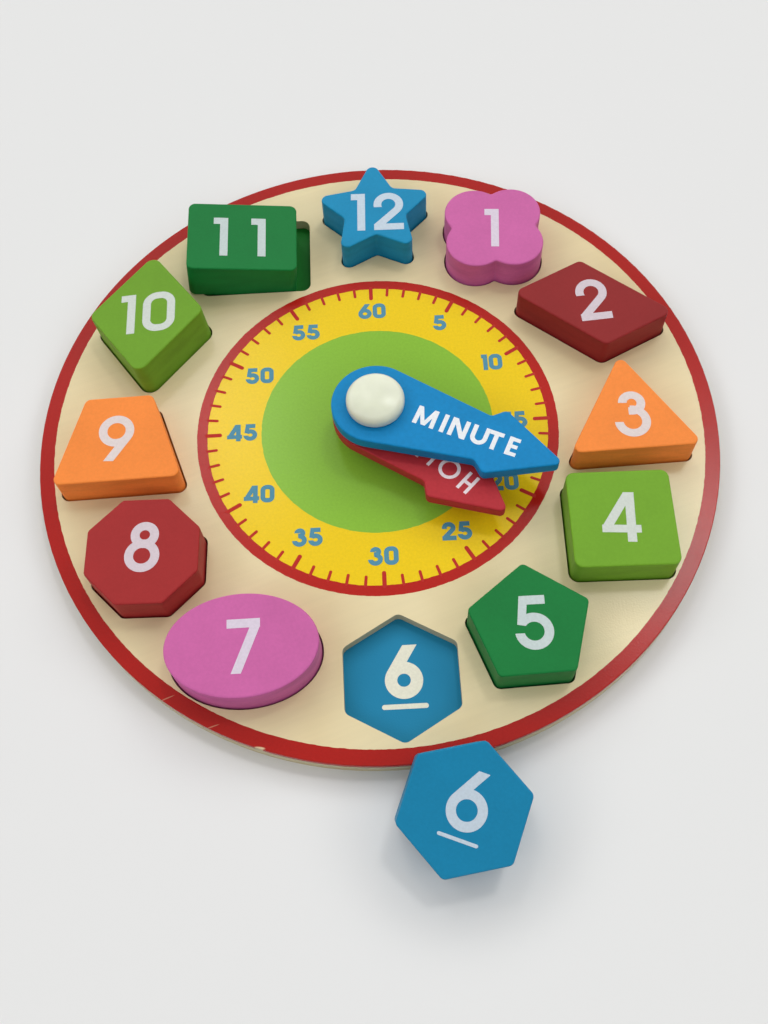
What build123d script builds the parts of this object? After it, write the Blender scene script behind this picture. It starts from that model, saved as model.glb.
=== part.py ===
from build123d import *
import os
from math import asin, atan, atan2, acos, cos, degrees, hypot, pi, radians, sin, tan

# Wooden shape sorting clock: a round two-layer board with twelve shaped recesses, a number block
# for each, and two hands that turn on a domed peg. Millimetres. The origin is the centre of the
# dial on the underside of the board, +Z is up out of the face, +Y points at 12 and +X at 3.

# Board: a backing disc with a face disc glued on it
DIAL_RADIUS = 62.9
BLOCK_BAND_WIDTH = 54.6
BASE_THICKNESS = 3.0
FACE_THICKNESS = 4.2
BOARD_EDGE_ROUND = 0.3

# Blocks: sawn from one thickness of stock, with rounded corners and eased edges
BLOCK_THICKNESS = 15.5
BLOCK_EDGE_ROUND = 0.6
RECESS_CLEARANCE = 0.6
QUATREFOIL_WIDTH = 35.5
QUATREFOIL_LOBE_RADIUS = 10.9
QUATREFOIL_NOTCH_ROUND = 1.5
PARALLELOGRAM_LENGTH = 38.9
PARALLELOGRAM_SIDE = 28.6
PARALLELOGRAM_ANGLE = 65.0
PARALLELOGRAM_ROUND = 2.5
TRIANGLE_BASE = 44.2
TRIANGLE_HEIGHT = 37.0
TRIANGLE_ROUND = 2.2
SQUARE_SIDE = 33.6
SQUARE_ROUND = 2.8
PENTAGON_RADIUS = 20.0
PENTAGON_ROUND = 1.8
HEXAGON_ACROSS_FLATS = 35.2
HEXAGON_ROUND = 2.0
OVAL_LENGTH = 48.0
OVAL_WIDTH = 33.6
OCTAGON_ACROSS_FLATS = 36.5
OCTAGON_ROUND = 2.0
TRAPEZOID_BASE = 43.4
TRAPEZOID_TOP = 22.9
TRAPEZOID_HEIGHT = 32.4
TRAPEZOID_ROUND = 2.4
RHOMBUS_SIDE = 33.9
RHOMBUS_ANGLE = 76.5
RHOMBUS_ROUND = 3.4
RECTANGLE_LENGTH = 39.9
RECTANGLE_WIDTH = 30.3
RECTANGLE_ROUND = 2.6
RECTANGLE_RECESS_SLACK = 1.85
STAR_TIP_RADIUS = 23.7
STAR_NOTCH_RADIUS = 12.0
STAR_TIP_ROUND = 2.5
STAR_NOTCH_ROUND = 2.5

# Where each recess lies: how far it is shifted out from the middle of the block band (mm), how far
# it is past its hour round the dial (degrees clockwise), and its own turn (degrees anticlockwise)
RECESS_PLACES = {
    1: (-1.0, 1.5, -1.5),
    2: (-2.0, 3.0, -39.0),
    3: (-4.5, 5.0, 1.5),
    4: (-1.0, 0.0, -1.0),
    5: (0.0, 0.5, 2.0),
    6: (0.0, -2.5, 0.5),
    7: (2.0, -1.0, 1.5),
    8: (0.15, -1.6, -1.0),
    9: (-2.5, -3.5, 1.5),
    10: (0.6, -0.9, -2.5),
    11: (-2.25, 0.85, 0.0),
    12: (-2.5, 2.0, 0.5),
}

# The rectangle has slipped left out of its recess: the bare strip of floor at its right end
PROPPED_FLOOR_GAP = 5.8
PROPPED_SEAT_GAP = 0.25
# The rhombus is cocked in its recess: which way its raised corner points and how far that corner
# stands off the floor
COCKED_HEADING = -33.0
COCKED_LIFT = 2.9
# The hexagon leans on the rim from outside: its place round the dial and its lap over the rim
LOOSE_CLOCK_ANGLE = 171.5
LOOSE_LAP = 3.4

# Hub: spacer, hour hand, washer, minute hand and the knob of the peg, one above another
PEG_RADIUS = 3.7
PEG_FIT = 0.05
PEG_FLOOR = 1.0
HAND_BORE_CLEARANCE = 0.1
HAND_FACE_GAP = 0.1
SPACER_RADIUS = 9.0
SPACER_THICKNESS = 5.7
WASHER_RADIUS = 8.0
WASHER_THICKNESS = 0.8
KNOB_RADIUS = 9.8
KNOB_LIP_HEIGHT = 0.5
KNOB_LIP_INSET = 0.4
KNOB_SIDE_HEIGHT = 1.4
KNOB_SHOULDER_ROUND = 2.5
KNOB_CROWN_SLOPE = 15.0

# Hands: a round hub, a tapered shaft and an arrow head
HAND_THICKNESS = 4.7
HAND_HUB_RADIUS = 14.9
HAND_EDGE_ROUND = 0.6
HAND_TIP_ROUND = 1.7
HAND_SHOULDER_ROUND = 2.0
HAND_NECK_ROUND = 2.0
HEAD_LENGTH = 24.0
HEAD_BARB = 4.2
HEAD_OVERHANG = 3.8
MINUTE_OVER_DIAL = 3.2
MINUTE_NECK_WIDTH = 17.6
MINUTE_CLOCK_ANGLE = 113.9
HOUR_REACH = 57.8
HOUR_NECK_WIDTH = 18.6
HOUR_CLOCK_ANGLE = 134.3

BOARD_RADIUS = DIAL_RADIUS + BLOCK_BAND_WIDTH
BOARD_TOP = BASE_THICKNESS + FACE_THICKNESS
RECESS_RING_RADIUS = DIAL_RADIUS + BLOCK_BAND_WIDTH / 2
MINUTE_REACH = DIAL_RADIUS + MINUTE_OVER_DIAL

# Levels of the hub stack
SPACER_TOP = BOARD_TOP + SPACER_THICKNESS
HOUR_BOTTOM = SPACER_TOP + HAND_FACE_GAP
WASHER_BOTTOM = HOUR_BOTTOM + HAND_THICKNESS + HAND_FACE_GAP
MINUTE_BOTTOM = WASHER_BOTTOM + WASHER_THICKNESS + HAND_FACE_GAP
KNOB_BOTTOM = MINUTE_BOTTOM + HAND_THICKNESS + HAND_FACE_GAP


def rounded_polygon(points, corner_round):
    """Straight-sided outline with every corner rounded alike."""
    return fillet(make_face(Polyline(*points, close=True)).vertices(), corner_round)


def regular_polygon(across_flats, sides, first_corner, corner_round):
    """Regular outline given across its flats, with one corner at the angle first_corner."""
    radius = across_flats / 2 / cos(pi / sides)
    angles = [radians(first_corner + 360 * k / sides) for k in range(sides)]
    return rounded_polygon([(radius * cos(a), radius * sin(a)) for a in angles], corner_round)


def quatrefoil():
    """Four overlapping lobes on the corners of a square."""
    offset_to_lobe = QUATREFOIL_WIDTH / 2 - QUATREFOIL_LOBE_RADIUS
    lobes = GridLocations(2 * offset_to_lobe, 2 * offset_to_lobe, 2, 2)
    outline = Rectangle(2 * offset_to_lobe, 2 * offset_to_lobe) + lobes * Circle(QUATREFOIL_LOBE_RADIUS)
    return fillet(outline.vertices(), QUATREFOIL_NOTCH_ROUND)


def parallelogram():
    """Long edges along X, short edges leaning at PARALLELOGRAM_ANGLE."""
    lean_x = PARALLELOGRAM_SIDE * cos(radians(PARALLELOGRAM_ANGLE)) / 2
    half_y = PARALLELOGRAM_SIDE * sin(radians(PARALLELOGRAM_ANGLE)) / 2
    half_x = PARALLELOGRAM_LENGTH / 2
    corners = [
        (-half_x - lean_x, -half_y),
        (half_x - lean_x, -half_y),
        (half_x + lean_x, half_y),
        (-half_x + lean_x, half_y),
    ]
    return rounded_polygon(corners, PARALLELOGRAM_ROUND)


def triangle():
    """Apex up, with the centroid at the origin."""
    bottom = -TRIANGLE_HEIGHT / 3
    half_x = TRIANGLE_BASE / 2
    corners = [(-half_x, bottom), (half_x, bottom), (0, bottom + TRIANGLE_HEIGHT)]
    return rounded_polygon(corners, TRIANGLE_ROUND)


def square():
    return RectangleRounded(SQUARE_SIDE, SQUARE_SIDE, SQUARE_ROUND)


def pentagon():
    return regular_polygon(2 * PENTAGON_RADIUS * cos(pi / 5), 5, 90, PENTAGON_ROUND)


def hexagon():
    return regular_polygon(HEXAGON_ACROSS_FLATS, 6, 90, HEXAGON_ROUND)


def oval():
    return Ellipse(OVAL_LENGTH / 2, OVAL_WIDTH / 2)


def octagon():
    return regular_polygon(OCTAGON_ACROSS_FLATS, 8, 22.5, OCTAGON_ROUND)


def trapezoid():
    half_y = TRAPEZOID_HEIGHT / 2
    corners = [
        (-TRAPEZOID_BASE / 2, -half_y),
        (TRAPEZOID_BASE / 2, -half_y),
        (TRAPEZOID_TOP / 2, half_y),
        (-TRAPEZOID_TOP / 2, half_y),
    ]
    return rounded_polygon(corners, TRAPEZOID_ROUND)


def rhombus():
    """Acute corners at the top and bottom."""
    half_x = RHOMBUS_SIDE * sin(radians(RHOMBUS_ANGLE / 2))
    half_y = RHOMBUS_SIDE * cos(radians(RHOMBUS_ANGLE / 2))
    return rounded_polygon([(half_x, 0), (0, half_y), (-half_x, 0), (0, -half_y)], RHOMBUS_ROUND)


def rectangle():
    return RectangleRounded(RECTANGLE_LENGTH, RECTANGLE_WIDTH, RECTANGLE_ROUND)


def star():
    """Five points, one up, with the tips and the notches rounded by different amounts."""
    radii = [STAR_TIP_RADIUS, STAR_NOTCH_RADIUS] * 5
    angles = [radians(90 + 36 * k) for k in range(10)]
    corners = [(r * cos(a), r * sin(a)) for r, a in zip(radii, angles)]
    outline = make_face(Polyline(*corners, close=True))
    outline = fillet(from_centre(outline.vertices())[-5:], STAR_TIP_ROUND)
    return fillet(from_centre(outline.vertices())[:5], STAR_NOTCH_ROUND)


def from_centre(vertices):
    """Vertices sorted by their distance from the Z axis."""
    return vertices.sort_by(lambda vertex: hypot(vertex.X, vertex.Y))


OUTLINES = {
    1: ("quatrefoil", quatrefoil()),
    2: ("parallelogram", parallelogram()),
    3: ("triangle", triangle()),
    4: ("square", square()),
    5: ("pentagon", pentagon()),
    6: ("hexagon", hexagon()),
    7: ("oval", oval()),
    8: ("octagon", octagon()),
    9: ("trapezoid", trapezoid()),
    10: ("rhombus", rhombus()),
    11: ("rectangle", rectangle()),
    12: ("star", star()),
}


def recess_place(hour):
    """Location of a recess on the table plane, turned as its outline is."""
    shift, past_hour, turn = RECESS_PLACES[hour]
    angle = radians(30 * hour + past_hour)
    radius = RECESS_RING_RADIUS + shift
    return Pos(radius * sin(angle), radius * cos(angle)) * Rot(0, 0, turn)


def end_faces(solid):
    """The bottom and the top face of an upright prism."""
    faces = solid.faces().sort_by(Axis.Z)
    return faces[0], faces[-1]


def make_block(outline):
    """Block standing on the table plane, with its top and bottom edges eased."""
    block = extrude(outline, BLOCK_THICKNESS)
    bottom, top = end_faces(block)
    return fillet(bottom.edges() + top.edges(), BLOCK_EDGE_ROUND)


def seated(hour):
    """Block lying flat on the floor of its recess."""
    return Pos(0, 0, BASE_THICKNESS) * recess_place(hour) * make_block(OUTLINES[hour][1])


def propped(hour):
    """Rectangle with its left end on the edge of the recess and its right end on the floor."""
    recess_length = RECTANGLE_LENGTH + 2 * RECESS_CLEARANCE
    tilt = degrees(atan(FACE_THICKNESS / (recess_length - PROPPED_FLOOR_GAP)))
    right_x = recess_length / 2 - PROPPED_FLOOR_GAP
    right_foot = Pos(right_x, -RECTANGLE_RECESS_SLACK / 2, BASE_THICKNESS + PROPPED_SEAT_GAP)
    about_right_end = right_foot * Rot(0, tilt, 0) * Pos(-RECTANGLE_LENGTH / 2, 0, 0)
    return recess_place(hour) * about_right_end * make_block(OUTLINES[hour][1])


def cocked(hour):
    """Rhombus with one corner on the floor of its recess and the far one raised."""
    outline = OUTLINES[hour][1]
    span = (Rot(0, 0, -COCKED_HEADING) * outline).bounding_box()
    tilt = asin(COCKED_LIFT / span.size.X)
    centring = FACE_THICKNESS * tan(tilt) / 2 + span.size.X * (1 - cos(tilt)) / 2
    foot = Pos(span.min.X + centring, 0, BASE_THICKNESS)
    about_foot = foot * Rot(0, -degrees(tilt), 0) * Pos(-span.min.X, 0, 0)
    turned = Rot(0, 0, COCKED_HEADING) * about_foot * Rot(0, 0, -COCKED_HEADING)
    return recess_place(hour) * turned * make_block(outline)


def leaning(hour):
    """Hexagon off the board, one bottom edge on the table and its underside on the rim."""
    width = HEXAGON_ACROSS_FLATS
    tilt = degrees(asin(BOARD_TOP / (width - LOOSE_LAP)))
    outward = Rot(0, 0, 90 - LOOSE_CLOCK_ANGLE)
    on_rim = Pos(BOARD_RADIUS, 0, BOARD_TOP) * Rot(0, tilt, 0) * Pos(width / 2 - LOOSE_LAP, 0, 0)
    flat_outward = Rot(0, 0, 60)
    return outward * on_rim * flat_outward * make_block(OUTLINES[hour][1])


def make_base_board():
    """Backing disc with a blind hole for the end of the peg and an eased lower edge."""
    disc = extrude(Circle(BOARD_RADIUS), BASE_THICKNESS)
    bottom, _ = end_faces(disc)
    disc = fillet(bottom.edges(), BOARD_EDGE_ROUND)
    return disc - Pos(0, 0, PEG_FLOOR) * extrude(Circle(PEG_RADIUS + PEG_FIT), BASE_THICKNESS)


def make_face_board():
    """Face disc with the twelve recesses cut right through it and an eased upper edge."""
    disc = extrude(Circle(BOARD_RADIUS), FACE_THICKNESS)
    _, top = end_faces(disc)
    disc = fillet(top.edges(), BOARD_EDGE_ROUND)
    disc -= extrude(Circle(PEG_RADIUS + PEG_FIT), FACE_THICKNESS)
    for hour in OUTLINES:
        disc -= extrude(recess_place(hour) * recess_outline(hour), FACE_THICKNESS)
    return Pos(0, 0, BASE_THICKNESS) * disc


def recess_outline(hour):
    """Outline of a block, grown all round by the clearance; the rectangle's is slack across too."""
    if OUTLINES[hour][0] == "oval":
        return Ellipse(OVAL_LENGTH / 2 + RECESS_CLEARANCE, OVAL_WIDTH / 2 + RECESS_CLEARANCE)
    if OUTLINES[hour][0] == "rectangle":
        return RectangleRounded(
            RECTANGLE_LENGTH + 2 * RECESS_CLEARANCE,
            RECTANGLE_WIDTH + 2 * RECESS_CLEARANCE + RECTANGLE_RECESS_SLACK,
            RECTANGLE_ROUND + RECESS_CLEARANCE,
        )
    return offset(OUTLINES[hour][1], RECESS_CLEARANCE)


def hand_outline(reach, neck_width):
    """Hand pointing along +X with its hub on the origin."""
    neck_x = reach - HEAD_LENGTH - HEAD_BARB
    neck_y = neck_width / 2
    shoulder = (reach - HEAD_LENGTH, neck_y + HEAD_OVERHANG)
    tangent = atan2(neck_y, neck_x) + acos(HAND_HUB_RADIUS / hypot(neck_x, neck_y))
    touch = (HAND_HUB_RADIUS * cos(tangent), HAND_HUB_RADIUS * sin(tangent))
    upper = [touch, (neck_x, neck_y), shoulder, (reach, 0)]
    lower = [(x, -y) for x, y in reversed(upper[:-1])]
    sides = Polyline(*upper, *lower)
    hub_arc = ThreePointArc(lower[-1], (-HAND_HUB_RADIUS, 0), touch)
    outline = make_face(sides + hub_arc)
    for corner, corner_round in (
        ((reach, 0), HAND_TIP_ROUND),
        (shoulder, HAND_SHOULDER_ROUND),
        ((shoulder[0], -shoulder[1]), HAND_SHOULDER_ROUND),
        ((neck_x, neck_y), HAND_NECK_ROUND),
        ((neck_x, -neck_y), HAND_NECK_ROUND),
    ):
        outline = fillet(outline.vertices().sort_by_distance(corner)[0], corner_round)
    return outline


def make_hand(reach, neck_width, bottom, clock_angle):
    """Hand with eased edges and a bore that runs on the peg."""
    hand = extrude(hand_outline(reach, neck_width), HAND_THICKNESS)
    lower, upper = end_faces(hand)
    hand = fillet(lower.edges() + upper.edges(), HAND_EDGE_ROUND)
    hand -= extrude(Circle(PEG_RADIUS + HAND_BORE_CLEARANCE), HAND_THICKNESS)
    return Pos(0, 0, bottom) * Rot(0, 0, 90 - clock_angle) * hand


def make_ring(outer_radius, bottom, thickness):
    """Plain ring that fits on the peg."""
    return Pos(0, 0, bottom) * extrude(Circle(outer_radius) - Circle(PEG_RADIUS + PEG_FIT), thickness)


def make_peg():
    """Dowel and knob in one turned piece: a small lip, a straight side, a round shoulder, a low crown."""
    lip_top = KNOB_BOTTOM + KNOB_LIP_HEIGHT
    side_top = lip_top + KNOB_SIDE_HEIGHT
    slope = radians(KNOB_CROWN_SLOPE)
    lip_start = (KNOB_RADIUS - KNOB_LIP_INSET, 0, KNOB_BOTTOM)
    lip_middle = (
        KNOB_RADIUS - KNOB_LIP_INSET * (1 - sin(pi / 4)),
        0,
        KNOB_BOTTOM + KNOB_LIP_HEIGHT * (1 - cos(pi / 4)),
    )
    lip_end = (KNOB_RADIUS, 0, lip_top)
    side_end = (KNOB_RADIUS, 0, side_top)
    shoulder = [
        (
            KNOB_RADIUS - KNOB_SHOULDER_ROUND * (1 - cos(angle)),
            0,
            side_top + KNOB_SHOULDER_ROUND * sin(angle),
        )
        for angle in ((pi / 2 - slope) / 2, pi / 2 - slope)
    ]
    crown_radius = shoulder[1][0] / sin(slope)
    crown_centre = shoulder[1][2] - crown_radius * cos(slope)
    crown_middle = (crown_radius * sin(slope / 2), 0, crown_centre + crown_radius * cos(slope / 2))
    apex = (0, 0, crown_centre + crown_radius)
    shank_foot = [(0, 0, PEG_FLOOR), (PEG_RADIUS, 0, PEG_FLOOR)]
    shank = Polyline(apex, *shank_foot, (PEG_RADIUS, 0, KNOB_BOTTOM), lip_start)
    lip = ThreePointArc(lip_start, lip_middle, lip_end)
    round_edge = ThreePointArc(side_end, shoulder[0], shoulder[1])
    crown = ThreePointArc(shoulder[1], crown_middle, apex)
    return revolve(make_face(shank + lip + Line(lip_end, side_end) + round_edge + crown), Axis.Z)


NODES = {
    "base_board": make_base_board(),
    "face_board": make_face_board(),
    "hub_spacer": make_ring(SPACER_RADIUS, BOARD_TOP, SPACER_THICKNESS),
    "hour_hand": make_hand(HOUR_REACH, HOUR_NECK_WIDTH, HOUR_BOTTOM, HOUR_CLOCK_ANGLE),
    "hand_washer": make_ring(WASHER_RADIUS, WASHER_BOTTOM, WASHER_THICKNESS),
    "minute_hand": make_hand(MINUTE_REACH, MINUTE_NECK_WIDTH, MINUTE_BOTTOM, MINUTE_CLOCK_ANGLE),
    "hub_peg": make_peg(),
}
RESTING = {6: leaning, 10: cocked, 11: propped}
for block_hour, (shape_name, _) in OUTLINES.items():
    rest = RESTING.get(block_hour, seated)
    NODES[f"block_{block_hour:02d}_{shape_name}"] = rest(block_hour)

os.makedirs("parts", exist_ok=True)
for node_name, node in NODES.items():
    export_step(node, f"parts/{node_name}.step")
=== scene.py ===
import logging
import math
from collections.abc import Callable
from dataclasses import dataclass
from enum import Enum
from functools import partial

import bpy
import numpy as np
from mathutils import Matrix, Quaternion, Vector
from mathutils.geometry import delaunay_2d_cdt


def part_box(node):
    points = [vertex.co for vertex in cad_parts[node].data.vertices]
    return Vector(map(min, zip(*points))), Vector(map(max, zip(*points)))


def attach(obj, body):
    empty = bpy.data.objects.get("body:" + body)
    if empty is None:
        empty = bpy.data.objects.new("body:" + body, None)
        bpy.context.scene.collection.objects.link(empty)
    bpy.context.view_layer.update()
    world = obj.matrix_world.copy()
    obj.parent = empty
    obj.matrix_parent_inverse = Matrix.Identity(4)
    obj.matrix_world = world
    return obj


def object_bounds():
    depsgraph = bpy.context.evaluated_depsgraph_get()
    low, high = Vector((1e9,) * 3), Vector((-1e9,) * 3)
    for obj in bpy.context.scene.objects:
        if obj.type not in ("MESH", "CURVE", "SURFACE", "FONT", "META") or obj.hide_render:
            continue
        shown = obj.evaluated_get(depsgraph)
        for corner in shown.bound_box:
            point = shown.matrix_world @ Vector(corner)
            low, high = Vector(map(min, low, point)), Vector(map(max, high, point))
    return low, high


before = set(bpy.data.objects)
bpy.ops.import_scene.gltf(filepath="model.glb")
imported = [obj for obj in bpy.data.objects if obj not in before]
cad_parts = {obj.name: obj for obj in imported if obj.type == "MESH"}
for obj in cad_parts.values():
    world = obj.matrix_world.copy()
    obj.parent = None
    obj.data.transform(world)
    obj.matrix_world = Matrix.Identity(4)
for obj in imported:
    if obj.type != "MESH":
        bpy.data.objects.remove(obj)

# Wooden shape sorting clock. Lengths are millimetres in the frame of the solids: the origin is the
# centre of the dial on the underside of the board, +Z is up, +Y points at 12 and +X at 3.

LOG = logging.getLogger("shape_sorting_clock")
CAD_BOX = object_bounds()
MM = 0.001

Array = np.ndarray
Strokes = list[Array]
Pair = tuple[float, float]
Triple = tuple[float, float, float]
Point = Pair | Array
Cut = float | None
Colour = tuple[float, float, float, float]
Stops = tuple[tuple[float, Colour | str], ...]
Node = bpy.types.Node
Socket = bpy.types.NodeSocket
Inputs = dict[str | int, object]
AddNode = Callable[..., Node]

# Prints: how far ink stands on its surface and how deep its underside is sunk
INK_RISE = 0.05
INK_DEPTH = 0.03
ARC_STEP = 5.0
MERGE_DISTANCE = 1e-4
TRIANGLES_INSIDE = 1

# Dial rings and rim, as radii of the printed edges
GREEN_RADIUS = 40.0
YELLOW_RADIUS = 59.2
DIAL_RADIUS = 62.6
RIM_INNER_RADIUS = 112.2
RECESS_RING_RADIUS = 90.2
GRAIN_ANGLE = 19.0

# Clock face, and the triangles of a solid that make up its flat top
HOURS = 12
HOUR_ANGLE = 30.0
MARK_MINUTES = 5
FACES_UP = 0.9
SAME_FACE = 0.9999
NO_AREA = 1e-12

# Line under each six: its width and weight, and how far it lies below the figure
UNDERLINED = 6
BLOCK_UNDERLINE = (12.2, 1.05)
FLOOR_UNDERLINE = (14.6, 1.6)
UNDERLINE_DROP = 2.4

# White of the block numbers and how much paint shows through it, and the colour and share of painted shade
# that darkens the recess floors
NUMBER_WHITE = "#E0E0E8"
SHOW_THROUGH = 0.13
FLOOR_PAINTED_SHADE = "#6A3A30"
FLOOR_SHADE_SHARE = 0.12

# Span of values that a noise takes over most of a surface
NOISE_LOW = 0.3
NOISE_HIGH = 0.7


class Hue(Enum):
    """Paint colours of the blocks: the record's slot and the sRGB colour."""

    PINK = ("paint_pink", "#CC67A5")
    CRIMSON = ("paint_crimson", "#A52F2F")
    ORANGE = ("paint_orange", "#F98E40")
    LEAF_GREEN = ("paint_leaf_green", "#75A72E")
    DARK_GREEN = ("paint_dark_green", "#177A3A")
    BLUE = ("paint_blue", "#1A8CB9")

    def __init__(self, slot: str, colour: str) -> None:
        """Keeps the name of the record's slot and the paint's sRGB colour."""
        self.slot = slot
        self.colour = colour


def linear(colour: str, shade: float = 1.0) -> Colour:
    """Turns an sRGB hex colour into linear light.

    Args:
        colour: the colour as #RRGGBB.
        shade: factor on the linear light.

    Returns:
        Red, green, blue and alpha.
    """
    srgb = np.array([int(colour[k : k + 2], 16) for k in (1, 3, 5)]) / 255.0
    light = np.where(srgb <= 0.04045, srgb / 12.92, ((srgb + 0.055) / 1.055) ** 2.4)
    return (*(float(channel) for channel in light * shade), 1.0)


def mixed(first: str, second: str, share: float) -> str:
    """Mixes two sRGB colours.

    Args:
        first, second: the colours as #RRGGBB.
        share: how much of the second.

    Returns:
        The mix as #RRGGBB.
    """
    pairs = ((int(first[k : k + 2], 16), int(second[k : k + 2], 16)) for k in (1, 3, 5))
    return "#" + "".join(f"{round(a + (b - a) * share):02X}" for a, b in pairs)


def shades(colour: str, factors: Pair, span: Pair = (NOISE_LOW, NOISE_HIGH)) -> Stops:
    """Ramp stops from one shade of a colour to another over a span of values."""
    return tuple((stop, linear(colour, factor)) for stop, factor in zip(span, factors))


def per_metre(size_mm: float) -> float:
    """Texture scale at which one feature is that many millimetres."""
    return 1.0 / (size_mm * MM)


def add_node(
    tree: bpy.types.NodeTree, kind: str, inputs: Inputs | None = None, stops: Stops = (), **settings: object
) -> Node:
    """Adds one node with its settings and links.

    Args:
        tree: the node tree that gets the node.
        kind: Blender's name of the shader node type, without its common first part.
        inputs: input socket, by name or number, to a value, an output socket, or a node, which stands
            for its first output in use.
        stops: position and colour, linear or as #RRGGBB, of each stop of a colour ramp.
        settings: properties of the node itself.

    Returns:
        The new node.
    """
    node = tree.nodes.new(f"ShaderNode{kind}")
    for name, value in settings.items():
        setattr(node, name, value)
    for socket, value in (inputs or {}).items():
        if isinstance(value, Node):
            value = next(output for output in value.outputs if output.enabled)
        if isinstance(value, Socket):
            tree.links.new(value, node.inputs[socket])
        else:
            node.inputs[socket].default_value = value
    if stops:
        elements = node.color_ramp.elements
        while len(elements) < len(stops):
            elements.new(1.0)
        for element, (position, colour) in zip(elements, stops):
            element.position = position
            element.color = linear(colour) if isinstance(colour, str) else colour
    return node


def upwardness(add: AddNode) -> Socket:
    """Socket of how far the surface faces up: 1 on a top, 0 on a side and -1 underneath."""
    normal = add("NewGeometry").outputs["Normal"]
    return add("SeparateXYZ", {0: normal}).outputs["Z"]


class Finish:
    """Surface of one real material. Each kind is a frozen dataclass of its colours, sizes and gloss."""

    name: str
    colour: str
    roughness: float
    specular: float
    ior: float

    def surface(self, add: AddNode, place: Socket) -> Inputs:
        """Adds the finish's own nodes, or none where it is one even colour.

        Args:
            add: adds a node to the material.
            place: socket of the object's coordinates.

        Returns:
            The shader's inputs besides its gloss.
        """
        return {"Base Color": linear(self.colour)}

    def material(self) -> bpy.types.Material:
        """Makes the node material.

        Returns:
            The material: the finish's nodes, a shader with its gloss, and the output.
        """
        material = bpy.data.materials.new(self.name)
        material.use_nodes = True
        material.node_tree.nodes.clear()
        add = partial(add_node, material.node_tree)
        inputs = self.surface(add, add("TexCoord").outputs["Object"])
        gloss = {"Roughness": self.roughness, "Specular IOR Level": self.specular, "IOR": self.ior}
        shader = add("BsdfPrincipled", inputs | gloss)
        add("OutputMaterial", {"Surface": shader})
        return material


@dataclass(frozen=True)
class SprayedPaint(Finish):
    """Satin paint sprayed on sanded beech.

    To the eye it is one even colour with a soft sheen and a slightly cloudy, finely mottled tone. On
    the sawn sides the grain shows through as long level streaks, and the eased edges are paler: partly
    thinner paint, partly a painted highlight.
    """

    name: str
    colour: str
    roughness: float = 0.5
    specular: float = 0.15
    ior: float = 1.48
    cloud_mm: float = 22.0
    cloud_shades: Pair = (0.95, 1.04)
    mottle_mm: float = 0.9
    mottle: float = 0.03
    streak_mm: float = 3.5
    streak_stretch: float = 4.0
    streak_span: Pair = (0.35, 0.62)
    streak_shades: Pair = (0.9, 1.04)
    side_slopes: Pair = (0.5, 0.2)
    pore_depth_mm: float = 0.05
    # Paler eased edges: thinner paint and a painted highlight.
    edge_shade: float = 1.1

    def surface(self, add: AddNode, place: Socket) -> Inputs:
        """Adds the paint: noises tint it, and the normal tells tops, edges and sides apart.

        Args:
            add, place: as for any finish.

        Returns:
            The shader's inputs besides its gloss.
        """
        cloud = add(
            "TexNoise",
            {"Vector": place, "Scale": per_metre(self.cloud_mm), "Detail": 3.0, "Roughness": 0.6},
        )
        tone = add("ValToRGB", {"Fac": cloud}, shades(self.colour, self.cloud_shades))
        fine = add("TexNoise", {"Vector": place, "Scale": per_metre(self.mottle_mm), "Detail": 2.0})
        mottle = add(
            "MapRange", {"Value": fine, 1: NOISE_LOW, 2: NOISE_HIGH, 3: 1 - self.mottle, 4: 1 + self.mottle}
        )
        level = add("Math", {0: upwardness(add)}, operation="ABSOLUTE")
        none, full = self.side_slopes
        side = add("MapRange", {"Value": level, 1: none, 2: full, 3: 0.0, 4: 1.0})
        stretch = (self.streak_stretch, self.streak_stretch, 1.0)
        along = add("Mapping", {"Vector": place, "Scale": stretch}, vector_type="TEXTURE")
        streaks = add("TexNoise", {"Vector": along, "Scale": per_metre(self.streak_mm), "Detail": 4.0})
        grain = add("ValToRGB", {"Fac": streaks}, shades(self.colour, self.streak_shades, self.streak_span))
        sides = add("Mix", {"Factor": side, "A": tone, "B": grain}, data_type="RGBA")
        # Eased edges get the paler colour: partly thinner paint, partly a painted highlight.
        ease = ((0.4, "#000000"), (0.6, "#FFFFFF"), (0.85, "#FFFFFF"), (0.97, "#000000"))
        edge = add("ValToRGB", {"Fac": level}, ease)
        thinned_paint_and_highlight = linear(self.colour, self.edge_shade)
        worn_and_painted_highlight = add("Mix", {"Factor": edge, "A": sides, "B": thinned_paint_and_highlight}, data_type="RGBA")
        colour = add("VectorMath", {0: worn_and_painted_highlight, "Scale": mottle}, operation="SCALE")
        bump = add("Bump", {"Height": fine, "Strength": 0.5, "Distance": self.pore_depth_mm * MM})
        return {"Base Color": colour, "Normal": bump}


@dataclass(frozen=True)
class ScreenInk(Finish):
    """Thin screen printed ink: a matt, even layer with a slightly grainy cover."""

    name: str
    colour: str
    roughness: float = 0.55
    specular: float = 0.28
    ior: float = 1.45
    grit_mm: float = 0.7
    cover_shades: Pair = (0.94, 1.04)

    def surface(self, add: AddNode, place: Socket) -> Inputs:
        """Adds the ink: grit noise varies its cover by a few percent."""
        grit = add("TexNoise", {"Vector": place, "Scale": per_metre(self.grit_mm), "Detail": 3.0})
        return {"Base Color": add("ValToRGB", {"Fac": grit}, shades(self.colour, self.cover_shades))}


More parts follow.
